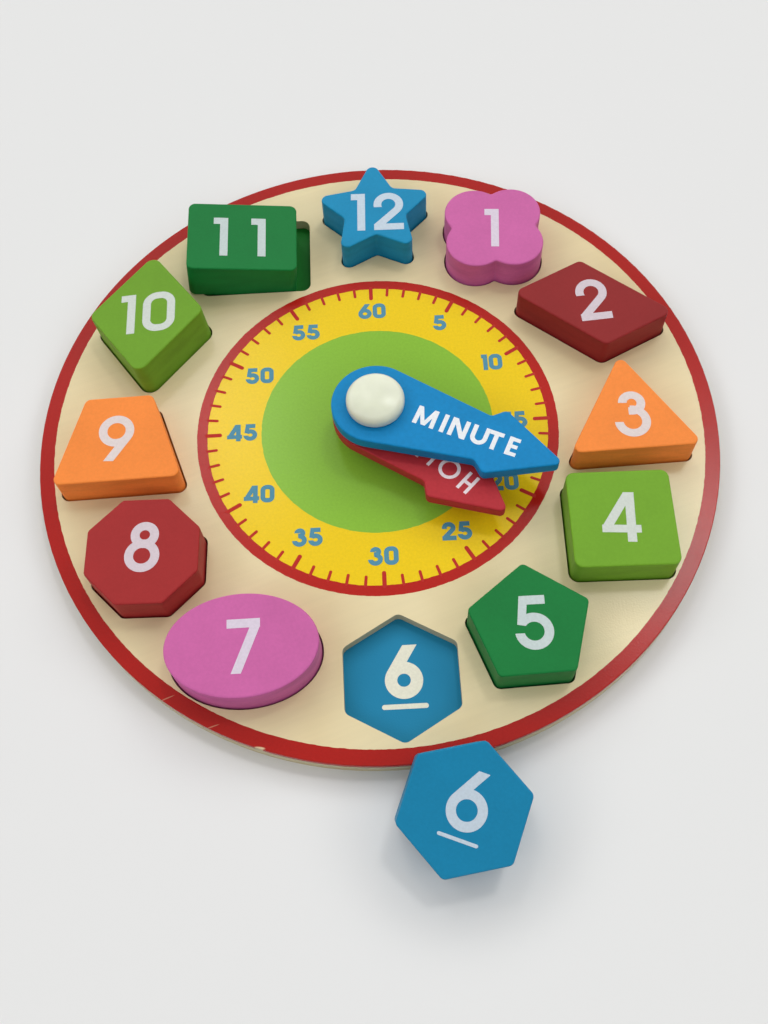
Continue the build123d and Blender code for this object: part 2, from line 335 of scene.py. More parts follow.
@dataclass(frozen=True)
class SandedWood(Finish):
    """Sanded pale softwood ply under a thin clear lacquer.

    To the eye it is an even cream with faint broad patches, barely darker grain streaks, a few tiny
    brown specks, painted shade on its upright cut faces and a soft, finely broken sheen.
    """

    name: str
    pale: str = "#E8D9AF"
    dark: str = "#E1CFA3"
    speck: str = "#B08F5C"
    roughness: float = 0.19
    specular: float = 0.19
    ior: float = 1.48
    patch_mm: float = 34.0
    patch_span: Pair = (0.32, 0.66)
    streak_mm: float = 1.9
    streak_stretch: float = 22.0
    streak_shade: float = 0.02
    # Painted shade: upright faces darker than level ones, blended between these slopes.
    edge_slopes: Pair = (0.3, 0.8)
    edge_shade: float = 0.75
    speck_spacing_mm: float = 30.0
    speck_size: float = 0.011
    pore_mm: float = 0.6
    pore_depth_mm: float = 0.06

    def grain(self, add: AddNode, place: Socket) -> tuple[Node, Node]:
        """Adds the wood's own colour, with painted shade that darkens its upright faces.

        Args:
            add, place: as for any finish.

        Returns:
            The node of the colour and the node of the fine pores.
        """
        heading = (0.0, 0.0, math.radians(GRAIN_ANGLE))
        stretch = (self.streak_stretch, 1.0, 1.0)
        turned = {"Vector": place, "Rotation": heading, "Scale": stretch}
        along = add("Mapping", turned, vector_type="TEXTURE")
        streaks = add(
            "TexNoise",
            {"Vector": along, "Scale": per_metre(self.streak_mm), "Detail": 5.0, "Roughness": 0.62},
        )
        patches = add("TexNoise", {"Vector": place, "Scale": per_metre(self.patch_mm), "Detail": 2.0})
        ground = add("ValToRGB", {"Fac": patches}, tuple(zip(self.patch_span, (self.dark, self.pale))))
        shade = self.streak_shade
        lines = add("MapRange", {"Value": streaks, 1: NOISE_LOW, 2: NOISE_HIGH, 3: 1 - shade, 4: 1 + shade})
        # Painted shade: upright faces take a darker colour than level ones.
        level = add("Math", {0: upwardness(add)}, operation="ABSOLUTE")
        upright, flat = self.edge_slopes
        edge = add("MapRange", {"Value": level, 1: upright, 2: flat, 3: self.edge_shade, 4: 1.0})
        both = add("Math", {0: lines, 1: edge}, operation="MULTIPLY")
        colour = add("VectorMath", {0: ground, "Scale": both}, operation="SCALE")
        spots = add("TexVoronoi", {"Vector": place, "Scale": per_metre(self.speck_spacing_mm)})
        speck = add("Math", {0: spots, 1: self.speck_size}, operation="LESS_THAN")
        brown = linear(self.speck)
        specked = add("Mix", {"Factor": speck, "A": colour, "B": brown}, data_type="RGBA")
        pores = add("TexNoise", {"Vector": place, "Scale": per_metre(self.pore_mm), "Detail": 2.0})
        return specked, pores

    def lacquered(self, add: AddNode, colour: Node, pores: Node) -> Inputs:
        """The shader's inputs: a colour under a sheen that the fine pores break up."""
        bump = add("Bump", {"Height": pores, "Strength": 0.55, "Distance": self.pore_depth_mm * MM})
        return {"Base Color": colour, "Normal": bump}

    def surface(self, add: AddNode, place: Socket) -> Inputs:
        """Adds the bare wood."""
        return self.lacquered(add, *self.grain(add, place))


@dataclass(frozen=True)
class Chip:
    """Splinter of red ink lifted off the rim: its middle, size, heading and the share that is gone."""

    x: float
    y: float
    length: float
    width: float
    heading: float
    bare: float


@dataclass(frozen=True)
class PrintedFace(SandedWood):
    """The same wood with the dial's rings and the red rim printed on its upward faces.

    Print edges wander a little, as screen ink does on grain, and the rim has a few splinters.
    """

    green: str = "#8DC13C"
    yellow: str = "#F6D11A"
    red: str = "#BA221A"
    rim_red: str = "#B0201A"
    edge_wander_mm: float = 0.22
    wander_size_mm: float = 2.5
    rim_drop_mm: float = 2.1
    chip_fade: Pair = (0.7, 1.1)
    weave_mm: float = 0.9
    weave_stops: Stops = ((0.25, "#F0F0F0"), (0.75, "#FFFFFF"))
    chips: tuple[Chip, ...] = (
        Chip(-69.3, -93.1, 5.0, 0.4, 21.0, 0.3),
        Chip(-55.0, -102.8, 4.8, 0.4, 17.0, 0.28),
        Chip(-40.7, -110.2, 4.2, 1.1, -5.0, 0.85),
    )

    def surface(self, add: AddNode, place: Socket) -> Inputs:
        """Adds the print: rings are steps on the radius, kept to the top and off the chips.

        Args:
            add, place: as for any finish.

        Returns:
            The shader's inputs besides its gloss.
        """
        wood, pores = self.grain(add, place)
        axes = add("SeparateXYZ", {0: place}).outputs
        flat = add("CombineXYZ", {"X": axes["X"], "Y": axes["Y"]})
        radius = add("VectorMath", {0: flat}, operation="LENGTH")
        wander = add("TexNoise", {"Vector": place, "Scale": per_metre(self.wander_size_mm), "Detail": 3.0})
        swing = self.edge_wander_mm * MM
        offset = add("Math", {0: wander, 1: 2 * swing, 2: -swing}, operation="MULTIPLY_ADD")
        reach = add("Math", {0: radius, 1: offset}, operation="ADD")
        board_radius = float(CAD_BOX[1][0]) / MM
        share = add("Math", {0: reach, 1: board_radius * MM}, operation="DIVIDE")
        steps = (0.0, GREEN_RADIUS, YELLOW_RADIUS, DIAL_RADIUS, RIM_INNER_RADIUS)
        inks = (self.green, self.yellow, self.red, self.pale, self.rim_red)
        cover = ("#FFFFFF", "#FFFFFF", "#FFFFFF", "#000000", "#FFFFFF")
        ramps = []
        for colours in (inks, cover):
            stops = tuple((step / board_radius, colour) for step, colour in zip(steps, colours))
            ramps.append(add("ValToRGB", {"Fac": share}, stops))
            ramps[-1].color_ramp.interpolation = "CONSTANT"
        rings, covered = ramps
        inked_above = float(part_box("face_board")[1].z) - self.rim_drop_mm * MM
        mask = add("Math", {0: axes["Z"], 1: inked_above}, operation="GREATER_THAN")
        mask = add("Math", {0: mask, 1: covered}, operation="MULTIPLY")
        gone, whole = self.chip_fade
        for chip in self.chips:
            middle = (chip.x * MM, chip.y * MM, 0.0)
            heading = (0.0, 0.0, math.radians(chip.heading))
            size = (chip.length / 2 * MM, chip.width / 2 * MM, 1.0)
            across = {"Vector": flat, "Location": middle, "Rotation": heading, "Scale": size}
            local = add("Mapping", across, vector_type="TEXTURE")
            away = add("VectorMath", {0: local}, operation="LENGTH")
            kept = add("MapRange", {"Value": away, 1: gone, 2: whole, 3: 1 - chip.bare, 4: 1.0})
            mask = add("Math", {0: mask, 1: kept}, operation="MULTIPLY")
        weave = add(
            "TexNoise",
            {"Vector": place, "Scale": per_metre(self.weave_mm), "Detail": 3.0, "Roughness": 0.7},
        )
        thin = add("ValToRGB", {"Fac": weave}, self.weave_stops)
        layers = {"Factor": 1.0, "A": rings, "B": thin}
        ink = add("Mix", layers, data_type="RGBA", blend_type="MULTIPLY")
        colour = add("Mix", {"Factor": mask, "A": wood, "B": ink}, data_type="RGBA")
        return self.lacquered(add, colour, pores)


@dataclass(frozen=True)
class FloorSpot:
    """Round patch of ink under one recess: its centre, reach and colour."""

    x: float
    y: float
    reach: float
    colour: str


@dataclass(frozen=True)
class PrintedBacking(SandedWood):
    """The backing ply, bare but for a patch of each block's colour, darkened by painted shade, under its
    recess.
    """

    spots: tuple[FloorSpot, ...] = ()

    def surface(self, add: AddNode, place: Socket) -> Inputs:
        """Adds the backing: wide patches first, so that narrower ones lie over them.

        Args:
            add, place: as for any finish.

        Returns:
            The shader's inputs besides its gloss.
        """
        colour, pores = self.grain(add, place)
        axes = add("SeparateXYZ", {0: place}).outputs
        flat = add("CombineXYZ", {"X": axes["X"], "Y": axes["Y"]})
        top = add("Math", {0: upwardness(add), 1: FACES_UP}, operation="GREATER_THAN")
        for spot in sorted(self.spots, key=lambda patch: -patch.reach):
            centre = (spot.x * MM, spot.y * MM, 0.0)
            away = add("VectorMath", {0: flat, 1: centre}, operation="DISTANCE")
            inside = add("Math", {0: away, 1: spot.reach * MM}, operation="LESS_THAN")
            factor = add("Math", {0: inside, 1: top}, operation="MULTIPLY")
            ink = linear(spot.colour)
            colour = add("Mix", {"Factor": factor, "A": colour, "B": ink}, data_type="RGBA")
        return self.lacquered(add, colour, pores)


@dataclass(frozen=True)
class GlossLacquer(Finish):
    """Dipped gloss lacquer on a turned knob: thick, smooth, bright and milky, with a clear highlight."""

    name: str
    colour: str
    roughness: float = 0.27
    specular: float = 0.5
    ior: float = 1.5
    tone_shades: Pair = (0.96, 1.03)
    ripple_mm: float = 6.0
    ripple_depth_mm: float = 0.05
    milk_mm: float = 3.0

    def surface(self, add: AddNode, place: Socket) -> Inputs:
        """Adds the lacquer: a long ripple bends the highlight and clouds the tone slightly.

        Args:
            add, place: as for any finish.

        Returns:
            The shader's inputs besides its gloss.
        """
        ripple = add("TexNoise", {"Vector": place, "Scale": per_metre(self.ripple_mm), "Detail": 2.0})
        depth = self.ripple_depth_mm * MM
        return {
            "Base Color": add("ValToRGB", {"Fac": ripple}, shades(self.colour, self.tone_shades)),
            "Subsurface Weight": 1.0,
            "Subsurface Radius": (1.0, 1.0, 1.0),
            "Subsurface Scale": self.milk_mm * MM,
            "Normal": add("Bump", {"Height": ripple, "Strength": 0.3, "Distance": depth}),
        }


@dataclass(frozen=True)
class MattTable(Finish):
    """Matt white laminate of the table: one even pale tone with no highlight of its own."""

    name: str
    colour: str
    roughness: float = 0.7
    specular: float = 0.2
    ior: float = 1.5


def clock_heading(angle: float) -> Array:
    """Unit direction at a clock angle, in radians from 12."""
    return np.array((math.sin(angle), math.cos(angle)))


def arc(x: float, y: float, radius: float, start: float, end: float) -> Array:
    """Points on a circle from one angle to another.

    Args:
        x, y: centre.
        radius: radius of the circle.
        start, end: angles in degrees from +X, run through in that order.

    Returns:
        Points as rows of x and y.
    """
    count = max(2, int(abs(end - start) / ARC_STEP) + 1)
    angles = np.radians(np.linspace(start, end, count))
    return np.column_stack((x + radius * np.cos(angles), y + radius * np.sin(angles)))


def trimmed(side: Array, end: Array, heading: Array, cut: float) -> Array:
    """Starts one side of a stroke on a slanted line through the end of the stroke's path.

    The side's first point slides along the heading to the line, and points behind the line go.

    Args:
        side: the side's points from that end on.
        end: the path's end point.
        heading: unit direction of the path into the stroke.
        cut: heading of the line in degrees.

    Returns:
        The side's points, the one on the line first.
    """
    inward = np.array((-math.sin(math.radians(cut)), math.cos(math.radians(cut))))
    inward *= np.sign(inward @ heading)
    depth = (side - end) @ inward
    corner = side[0] - heading * depth[0] / (inward @ heading)
    return np.concatenate(([corner], side[np.argmax(depth > MERGE_DISTANCE) :]))


def ribbon(path: Array, width: float, start_cut: Cut = None, end_cut: Cut = None) -> Array:
    """Outline of a stroke: each point of a path moved half the width to either side of its heading.

    An end is square to the path, or lies along a given heading when it has a cut.

    Args:
        path: points as rows of x and y.
        width: width of the stroke.
        start_cut, end_cut: headings of the two end edges in degrees.

    Returns:
        The outline's points, anticlockwise.
    """
    heading = np.gradient(path, axis=0)
    heading /= np.linalg.norm(heading, axis=1, keepdims=True)
    offset = np.column_stack((-heading[:, 1], heading[:, 0])) * width / 2
    sides = [path + offset, path - offset]
    if start_cut is not None:
        sides = [trimmed(side, path[0], heading[0], start_cut) for side in sides]
    if end_cut is not None:
        sides = [trimmed(side[::-1], path[-1], -heading[-1], end_cut)[::-1] for side in sides]
    outline = np.concatenate((sides[1], sides[0][::-1]))
    ahead = np.roll(outline, -1, axis=0)
    turning = np.sum(outline[:, 0] * ahead[:, 1] - outline[:, 1] * ahead[:, 0])
    return outline if turning > 0 else outline[::-1]


def pill(start: Point, end: Point, width: float) -> Array:
    """Outline of a straight stroke with round ends: two half circles joined by straight sides.

    Args:
        start, end: where the stroke ends, round ends included.
        width: width of the stroke.

    Returns:
        The outline's points, anticlockwise.
    """
    run = np.subtract(end, start)
    heading = math.degrees(math.atan2(run[1], run[0]))
    inset = run / np.linalg.norm(run) * width / 2
    cap = arc(*np.subtract(end, inset), width / 2, heading - 90, heading + 90)
    tail = arc(*np.add(start, inset), width / 2, heading + 90, heading + 270)
    return np.concatenate((cap, tail))


@dataclass(frozen=True)
class Lettering:
    """Plain geometric capitals and figures built from straight and round strokes of one weight.

    A glyph is drawn one unit high about its centre and then scaled to the height, so its stroke is
    the real weight divided by the height.
    """

    height: float
    stroke: float
    stretch: float = 1.0

    @property
    def weight(self) -> float:
        """Stroke as a share of the height."""
        return self.stroke / self.height

    def bar(
        self, start: Point, end: Point, start_cut: Cut = None, end_cut: Cut = None, share: float = 1.0
    ) -> Array:
        """Straight stroke.

        Args:
            start, end: ends of its centre line, in glyph units.
            start_cut, end_cut: headings of its end edges in degrees.
            share: its width as a share of the glyph's weight.

        Returns:
            Its outline in glyph units.
        """
        path = np.array((start, end)) * (self.stretch, 1.0)
        return ribbon(path, self.weight * share, start_cut, end_cut)

    def level(self, y: float, left: float, right: float, share: float = 1.0) -> Array:
        """Level stroke between two places."""
        return self.bar((left, y), (right, y), share=share)

    def stems(self, *places: float) -> Strokes:
        """Upright strokes over the full height."""
        return [self.bar((x, -0.5), (x, 0.5)) for x in places]

    def bow(
        self, x: float, y: float, outer: float, start: float, end: float,
        start_cut: Cut = None, end_cut: Cut = None, onward: Array | None = None,
    ) -> Array:
        """Round stroke, with a straight run on from its end where one is given.

        Args:
            x, y: centre of the round.
            outer: radius of its outer edge.
            start, end: angles in degrees.
            start_cut, end_cut: headings of its end edges in degrees.
            onward: point that the centre line runs on to.

        Returns:
            Its outline in glyph units.
        """
        path = arc(x, y, outer - self.weight / 2, start, end)
        if onward is not None:
            path = np.concatenate((path, [onward]))
        return ribbon(path * (self.stretch, 1.0), self.weight, start_cut, end_cut)

    def ring(self, x: float, y: float, outer: float) -> Strokes:
        """Closed round stroke as two half rings."""
        return [self.bow(x, y, outer, 0, 180, 0, 0), self.bow(x, y, outer, 180, 360, 0, 0)]

    def zero(self) -> Strokes:
        """Tall ring with straight sides: a half of two corner rounds, and the same turned half round.

        Returns:
            Outlines in glyph units.
        """
        half_width, round_off = 0.335, 0.3
        corner = round_off - self.weight / 2
        x = half_width - round_off
        y = 0.5 - round_off
        right = np.concatenate((arc(x, -y, corner, -90, 0), arc(x, y, corner, 0, 90)))
        path = np.concatenate(([(0, right[0, 1])], right, [(0, right[-1, 1])]))
        return [ribbon(side * path * (self.stretch, 1.0), self.weight) for side in (1, -1)]

    def two(self) -> Strokes:
        """Round top that runs on as a straight diagonal to a flat foot.

        Returns:
            Outlines in glyph units.
        """
        x, y, outer = 0.0, 0.186, 0.317
        foot = np.array((-0.309 + 0.68 * self.weight, -0.5 + 0.9 * self.weight))
        distance = math.hypot(foot[0] - x, foot[1] - y)
        bearing = math.degrees(math.atan2(foot[1] - y, foot[0] - x))
        leave = bearing + math.degrees(math.acos((outer - self.weight / 2) / distance))
        base = self.level(-0.5 + self.weight / 2, -0.309, 0.32)
        return [self.bow(x, y, outer, 196, leave, 0, 0, foot), base]

    def six(self) -> Strokes:
        """Ring with a straight leaning stem that leaves it at a tangent.

        Returns:
            Outlines in glyph units.
        """
        x, y, outer = 0.0, -0.157, 0.343
        lean = 58.5
        touch = arc(x, y, outer - self.weight / 2, lean + 90, lean + 90)[0]
        top = touch + np.array((1 / math.tan(math.radians(lean)), 1.0)) * (0.5 - touch[1])
        return [*self.ring(x, y, outer), self.bar(touch, top, None, 0)]

    def glyphs(self) -> dict[str, Strokes]:
        """All figures and capitals, from stems, level bars, slopes and bows.

        Numbers are places on a glyph one unit high about its centre, and angles in degrees.

        Returns:
            The outlines of each, in glyph units.
        """
        bar, bow, level, ring, stems = self.bar, self.bow, self.level, self.ring, self.stems
        weight = self.weight
        half = weight / 2
        top = 0.5 - half
        stem_h, stem_m, stem_n, stem_u = 0.29 - half, 0.52 - half, 0.435 - half, 0.41 - half
        stem_r = -0.28 + half
        low_r = 0.5 - 2 * 0.27 + half
        return {
            "0": self.zero(),
            "1": [*stems(0.151 - half), level(top, -0.151, 0.151 - half)],
            "2": self.two(),
            "3": [
                bow(0.02, 0.243, 0.26, 178, -90, 0),
                bow(0.0, -0.157, 0.343, 95, -176, None, 0),
                level(0.243 - 0.26 + half, -0.057, 0.03),
            ],
            "4": [
                *stems(0.177),
                level(-0.24, -0.354, 0.354, 0.92),
                bar((0.177 - 0.087 * weight, 0.5), (-0.354 + 0.587 * weight, -0.2), 0, 0),
            ],
            "5": [
                level(top, -0.217, 0.234),
                bar((-0.217 + 0.45 * weight, 0.5), (-0.291 + 0.45 * weight, -0.046), 0, -12, 0.9),
                bow(0.0, -0.163, 0.34, 142, -173, None, 0),
            ],
            "6": self.six(),
            "7": [
                level(top, -0.294, 0.297),
                bar((0.297 - 0.538 * weight, 0.52 - weight), (-0.126, -0.5), 0, 0),
            ],
            "8": [*ring(0.0, 0.238, 0.262), *ring(0.0, -0.177, 0.323)],
            "9": [-stroke for stroke in self.six()],
            "E": [
                *stems(-0.27 + half),
                *(level(y, -0.27, x, 0.9) for x, y in ((0.27, top), (0.23, 0.01), (0.27, -top))),
            ],
            "H": [*stems(-stem_h, stem_h), level(0.02, -stem_h, stem_h)],
            "I": stems(0.0),
            "M": [
                *(bar((1.03 * x, -0.5), (0.97 * x, 0.5), 0, 0) for x in (-stem_m, stem_m)),
                *(bar((0.95 * x, 0.5), (0.0, -0.46), 0, 0, 0.9) for x in (-stem_m, stem_m)),
            ],
            "N": [*stems(-stem_n, stem_n), bar((-0.93 * stem_n, 0.5), (0.93 * stem_n, -0.5), 0, 0)],
            "O": ring(0.0, 0.0, 0.5),
            "R": [
                *stems(stem_r),
                level(top, stem_r, 0.02),
                level(low_r, stem_r, 0.02),
                bow(0.02, 0.5 - 0.27, 0.27, 90, -90),
                bar((0.0, low_r), (0.24, -0.5), None, 0),
            ],
            "T": [*stems(0.0), level(top, -0.34, 0.34)],
            "U": [
                *(bar((x, 0.41 - 0.5), (x, 0.5)) for x in (-stem_u, stem_u)),
                bow(0.0, 0.41 - 0.5, 0.41, 180, 360),
            ],
        }

    def line(self, text: str, *gaps: float) -> Strokes:
        """Sets glyphs side by side, each starting a gap after the last one's right edge.

        Args:
            text: the figures or capitals.
            gaps: clear space between each pair of neighbours, mm.

        Returns:
            Outlines in millimetres, centred on the origin.
        """
        glyphs = self.glyphs()
        outlines = []
        cursor = 0.0
        for sign, gap in zip(text, (*gaps[: len(text) - 1], 0.0)):
            glyph = [stroke * self.height for stroke in glyphs[sign]]
            across = np.concatenate(glyph)[:, 0]
            outlines += [stroke + (cursor - across.min(), 0.0) for stroke in glyph]
            cursor += float(np.ptp(across)) + gap
        return [stroke - (cursor / 2, 0.0) for stroke in outlines]


BLOCK_FIGURES = Lettering(height=17.5, stroke=2.9)
FLOOR_FIGURES = Lettering(height=17.6, stroke=3.9)
MINUTE_FIGURES = Lettering(height=6.6, stroke=1.6, stretch=1.12)


@dataclass(frozen=True)
class PrintPlane:
    """Flat place for a print: its centre in millimetres and two unit directions in the face."""

    centre: Array
    right: Array
    up: Array

    def placed(self, across: float, along: float, turn: float) -> "PrintPlane":
        """The plane shifted in itself and turned about its normal.

        Args:
            across, along: shift to the right and up, mm.
            turn: degrees anticlockwise.

        Returns:
            The new plane.
        """
        cosine = math.cos(math.radians(turn))
        sine = math.sin(math.radians(turn))
        return PrintPlane(
            self.centre + across * self.right + along * self.up,
            cosine * self.right + sine * self.up,
            cosine * self.up - sine * self.right,
        )

    def lift(self, flat: Array, height: float) -> Array:
        """Carries flat points, rows of x and y, to centre + x right + y up + height along the normal."""
        normal = np.cross(self.right, self.up)
        return self.centre + flat[:, :1] * self.right + flat[:, 1:] * self.up + height * normal


Area = tuple[Strokes, PrintPlane]


def level_plane(x: float, y: float, z: float) -> PrintPlane:
    """A level print plane with its top towards 12."""
    return PrintPlane(np.array((x, y, z)), np.array((1.0, 0.0, 0.0)), np.array((0.0, 1.0, 0.0)))


def top_plane(node: str) -> PrintPlane:
    """Finds the flat top of a solid from its triangles: those that face as its largest upward one.

    Args:
        node: name of the solid.

    Returns:
        The plane through their area-weighted centre, with its right hand along the board's X.
    """
    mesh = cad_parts[node].data
    mesh.calc_loop_triangles()
    points = np.empty(3 * len(mesh.vertices))
    mesh.vertices.foreach_get("co", points)
    corners = np.empty(3 * len(mesh.loop_triangles), dtype=np.int32)
    mesh.loop_triangles.foreach_get("vertices", corners)
    triangles = points.reshape(-1, 3)[corners.reshape(-1, 3)] / MM
    normals = np.cross(triangles[:, 1] - triangles[:, 0], triangles[:, 2] - triangles[:, 0])
    areas = np.linalg.norm(normals, axis=1)
    normals = normals / np.maximum(areas, NO_AREA)[:, None]
    normal = normals[np.argmax(np.where(normals[:, 2] > FACES_UP, areas, 0.0))]
    level = normals @ normal > SAME_FACE
    centre = np.average(triangles[level].mean(axis=1), axis=0, weights=areas[level])
    right = np.array((1.0, 0.0, 0.0)) - normal[0] * normal
    right /= np.linalg.norm(right)
    return PrintPlane(centre, right, np.cross(normal, right))


def merged(outlines: Strokes) -> tuple[Array, Array]:
    """Joins overlapping outlines into one flat area of triangles.

    Args:
        outlines: closed outlines, anticlockwise, as rows of x and y.

    Returns:
        Points as rows of x and y, and triangles as rows of three point numbers.
    """
    corners = np.concatenate(outlines)
    ends = np.cumsum([len(outline) for outline in outlines])
    loops = [list(range(end - len(outline), end)) for outline, end in zip(outlines, ends)]
    points, _, faces, _, _, owners = delaunay_2d_cdt(
        corners.tolist(), [], loops, TRIANGLES_INSIDE, MERGE_DISTANCE
    )
    inked = np.array([bool(owner) for owner in owners])
    flat = np.array(points)
    triangles = np.array(faces)[inked]
    first, second, third = (flat[triangles[:, k]] for k in range(3))
    edge = second - first
    other = third - first
    backwards = edge[:, 0] * other[:, 1] - edge[:, 1] * other[:, 0] < 0
    triangles[backwards] = triangles[backwards][:, ::-1]
    used, renumbered = np.unique(triangles, return_inverse=True)
    return flat[used], renumbered.reshape(-1, 3)


def ink_layer(name: str, areas: list[Area]) -> bpy.types.Object:
    """Makes a closed layer of ink: each area's triangles twice, joined by walls along its open edges.

    Args:
        name: name of the piece.
        areas: outlines with the plane that each lies on.

    Returns:
        The piece, with its place in its mesh.
    """
    points = []
    faces = []
    start = 0
    for outlines, plane in areas:
        flat, triangles = merged(outlines)
        count = len(flat)
        points += [plane.lift(flat, INK_RISE), plane.lift(flat, -INK_DEPTH)]
        edges = np.concatenate([triangles[:, (k, (k + 1) % 3)] for k in range(3)])
        one_way = edges[:, 0] * count + edges[:, 1]
        other_way = edges[:, 1] * count + edges[:, 0]
        rim = edges[~np.isin(one_way, other_way)]
        walls = np.column_stack((rim + count, rim[:, ::-1]))
        for part in (triangles, triangles[:, ::-1] + count, walls):
            faces += (part + start).tolist()
        start += 2 * count
    mesh = bpy.data.meshes.new(name)
    mesh.from_pydata((np.concatenate(points) * MM).tolist(), [], faces)
    mesh.update()
    piece = bpy.data.objects.new(name, mesh)
    bpy.context.scene.collection.objects.link(piece)
    return piece


def dress(node: str, finish: Finish) -> None:
    """Gives a solid its finish in every material slot and logs it.

    Args:
        node: name of the solid.
        finish: the finish that covers it.
    """
    material = finish.material()
    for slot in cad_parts[node].material_slots:
        slot.material = material
    LOG.info("dressed %s with %s", node, material.name)


def mount_print(piece: bpy.types.Object, ink: ScreenInk, body: str, slot: str) -> None:
    """Finishes a print and fixes it to the body that carries it.

    Args:
        piece: the print.
        ink: its ink.
        body: the body that it moves with.
        slot: the record's slot of the surface that it is printed on; not used.
    """
    piece.data.materials.append(ink.material())
    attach(piece, body)
    LOG.info("printed %s on %s", piece.name, body)


@dataclass(frozen=True)
class NumberBlock:
    """One block: its shape and paint, its recess, and where its number is printed on its top.

    The recess is given by its shift out from the middle of the block band, its clock angle past the
    hour and the radius that holds all of it. The recess floor's colour carries painted shade, and some
    blocks get a share of black mixed into their paint.
    """

    hour: int
    shape: str
    hue: Hue
    recess_shift: float
    recess_past: float
    recess_reach: float
    across: float
    along: float
    turn: float
    gap: float = 0.0
    # Share of black mixed into this block's paint.
    dark: float = 0.0
    # Recess floor colour given outright, with its painted shade already in it.
    floor: str = ""

    @property
    def body(self) -> str:
        """Name of the block's body."""
        return f"block_{self.hour:02d}"

    @property
    def node(self) -> str:
        """Name of the block's solid."""
        return f"{self.body}_{self.shape}"

    def recess_centre(self) -> Array:
        """Centre of the recess on the board."""
        heading = clock_heading(math.radians(HOUR_ANGLE * self.hour + self.recess_past))
        return (RECESS_RING_RADIUS + self.recess_shift) * heading

    def floor_spot(self) -> FloorSpot:
        """The patch of colour on the floor of the recess: the block's colour darkened by painted shade."""
        # Painted shade: the block colour mixed with a dark brown.
        colour = self.floor or mixed(self.hue.colour, FLOOR_PAINTED_SHADE, FLOOR_SHADE_SHARE)
        return FloorSpot(*self.recess_centre(), self.recess_reach, colour)

    def outlines(self, lettering: Lettering, underline: Pair) -> Strokes:
        """Outlines of the number, with a line under the six so that it isn't read as a nine.

        Args:
            lettering: the figures' form.
            underline: width and weight of the line, mm.

        Returns:
            Outlines in millimetres about the number's centre.
        """
        strokes = lettering.line(str(self.hour), self.gap)
        if self.hour == UNDERLINED:
            width, weight = underline
            level = -lettering.height / 2 - UNDERLINE_DROP
            strokes.append(pill((-width / 2, level), (width / 2, level), weight))
        return strokes

    def build(self) -> None:
        """Paints the block and prints its number."""
        colour = mixed(self.hue.colour, "#000000", self.dark)
        dress(self.node, SprayedPaint(f"satin_paint_on_beech_{self.body}", colour))
        plane = top_plane(self.node).placed(self.across, self.along, self.turn)
        outlines = self.outlines(BLOCK_FIGURES, BLOCK_UNDERLINE)
        number = ink_layer(f"number_{self.hour:02d}", [(outlines, plane)])
        white = ScreenInk(f"white_screen_ink_{self.body}", mixed(NUMBER_WHITE, colour, SHOW_THROUGH))
        mount_print(number, white, self.body, self.hue.slot)


BLOCKS = (
    NumberBlock(1, "quatrefoil", Hue.PINK, -1.0, 1.5, 21.5, -0.75, -0.45, -4.5),
    NumberBlock(2, "parallelogram", Hue.CRIMSON, -2.0, 3.0, 29.5, 0.1, 0.8, 4.0, dark=0.12),
    NumberBlock(3, "triangle", Hue.ORANGE, -4.5, 5.0, 26.3, 0.3, 0.7, -2.0),
    NumberBlock(4, "square", Hue.LEAF_GREEN, -1.0, 0.0, 24.0, -0.5, 0.2, -4.0),
    NumberBlock(5, "pentagon", Hue.DARK_GREEN, 0.0, 0.5, 20.9, 0.8, 0.1, 0.0),
    NumberBlock(6, "hexagon", Hue.BLUE, 0.0, -2.5, 21.2, 1.5, 2.2, -22.0, dark=0.08),
    NumberBlock(7, "oval", Hue.PINK, 2.0, -1.0, 25.0, 0.7, -0.5, 0.5),
    NumberBlock(8, "octagon", Hue.CRIMSON, 0.15, -1.6, 20.5, 0.3, 1.2, -5.0),
    NumberBlock(9, "trapezoid", Hue.ORANGE, -2.5, -3.5, 27.9, -0.6, 1.5, -2.0),
    NumberBlock(10, "rhombus", Hue.LEAF_GREEN, 0.6, -0.9, 27.8, 0.7, -0.15, 1.5, 2.7, dark=0.04),
    # Its floor colour is the greener hue of a shaded recess floor: painted shade.
    NumberBlock(11, "rectangle", Hue.DARK_GREEN, -2.25, 0.85, 26.5, -1.0, -0.4, 0.0, 8.5, floor="#1B7429"),
    NumberBlock(12, "star", Hue.BLUE, -2.5, 2.0, 24.5, 0.9, -1.5, -1.5, 3.2),
)


